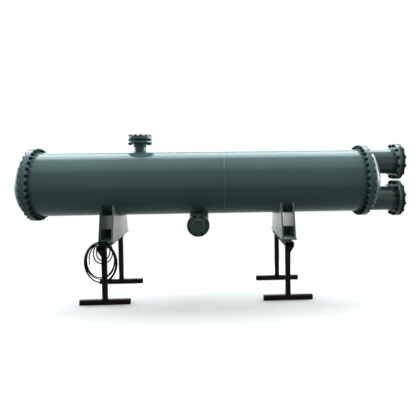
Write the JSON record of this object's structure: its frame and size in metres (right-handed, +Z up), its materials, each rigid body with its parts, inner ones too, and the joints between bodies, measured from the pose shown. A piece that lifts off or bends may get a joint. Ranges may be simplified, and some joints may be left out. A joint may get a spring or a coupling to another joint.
{
  "type": "shell and tube heat exchanger",
  "caption": "Horizontal shell and tube heat exchanger with bolted dished ends, blinded flanged nozzles, a drain sump and plate saddles, standing on black tube stands with a cable coil",
  "frame": {"origin": "middle of the bounding box on the floor, under the stands' feet", "axes": "+X along the shell towards the channel nozzles, +Y to the back, away from the drain nozzle, +Z up"},
  "size_m": [4.952, 1.082, 2.056],
  "materials": {
    "vessel_paint": "glossy dark teal-green enamel",
    "gasket": "dark sheet gasket",
    "stand_black": "worn black paint",
    "cable_rubber": "matt black cable sheath",
    "lug_metal": "tinned crimp lug"
  },
  "bodies": {
    "root": {"shell_left_course": "vessel_paint", "shell_right_course": "vessel_paint", "girth_weld": "vessel_paint", "left_tubesheet": "vessel_paint", "left_cover_flange": "vessel_paint", "left_dished_cover": "vessel_paint", "right_tubesheet": "vessel_paint", "channel_flange": "vessel_paint", "channel_head": "vessel_paint", "upper_nozzle_pipe": "vessel_paint", "upper_nozzle_flange": "vessel_paint", "upper_nozzle_blind": "vessel_paint", "lower_nozzle_pipe": "vessel_paint", "lower_nozzle_flange": "vessel_paint", "lower_nozzle_blind": "vessel_paint", "top_nozzle_neck": "vessel_paint", "top_nozzle_blind": "vessel_paint", "drain_sump": "vessel_paint", "drain_sump_cap": "vessel_paint", "drain_pipe": "vessel_paint", "drain_flange": "vessel_paint", "drain_blind": "vessel_paint", "left_wear_plate": "vessel_paint", "left_saddle_web_a": "vessel_paint", "left_saddle_web_b": "vessel_paint", "left_saddle_rib": "vessel_paint", "left_base_plate": "vessel_paint", "right_wear_plate": "vessel_paint", "right_saddle_web_a": "vessel_paint", "right_saddle_web_b": "vessel_paint", "right_saddle_rib": "vessel_paint", "right_base_plate": "vessel_paint", "left_gasket": "gasket", "right_gasket": "gasket", "upper_nozzle_gasket": "gasket", "lower_nozzle_gasket": "gasket", "top_nozzle_spacer": "gasket", "drain_gasket": "gasket", "left_stand_beam": "stand_black", "left_stand_front_post": "stand_black", "left_stand_front_foot": "stand_black", "left_stand_front_brace": "stand_black", "left_stand_back_post": "stand_black", "left_stand_back_foot": "stand_black", "right_stand_beam": "stand_black", "right_stand_front_post": "stand_black", "right_stand_front_foot": "stand_black", "right_stand_front_brace": "stand_black", "right_stand_back_post": "stand_black", "right_stand_back_foot": "stand_black", "cable_coil": "cable_rubber", "cable_small_loops": "cable_rubber", "cable_start_lug": "lug_metal", "cable_end_lug": "lug_metal"}
  },
  "joints": []
}
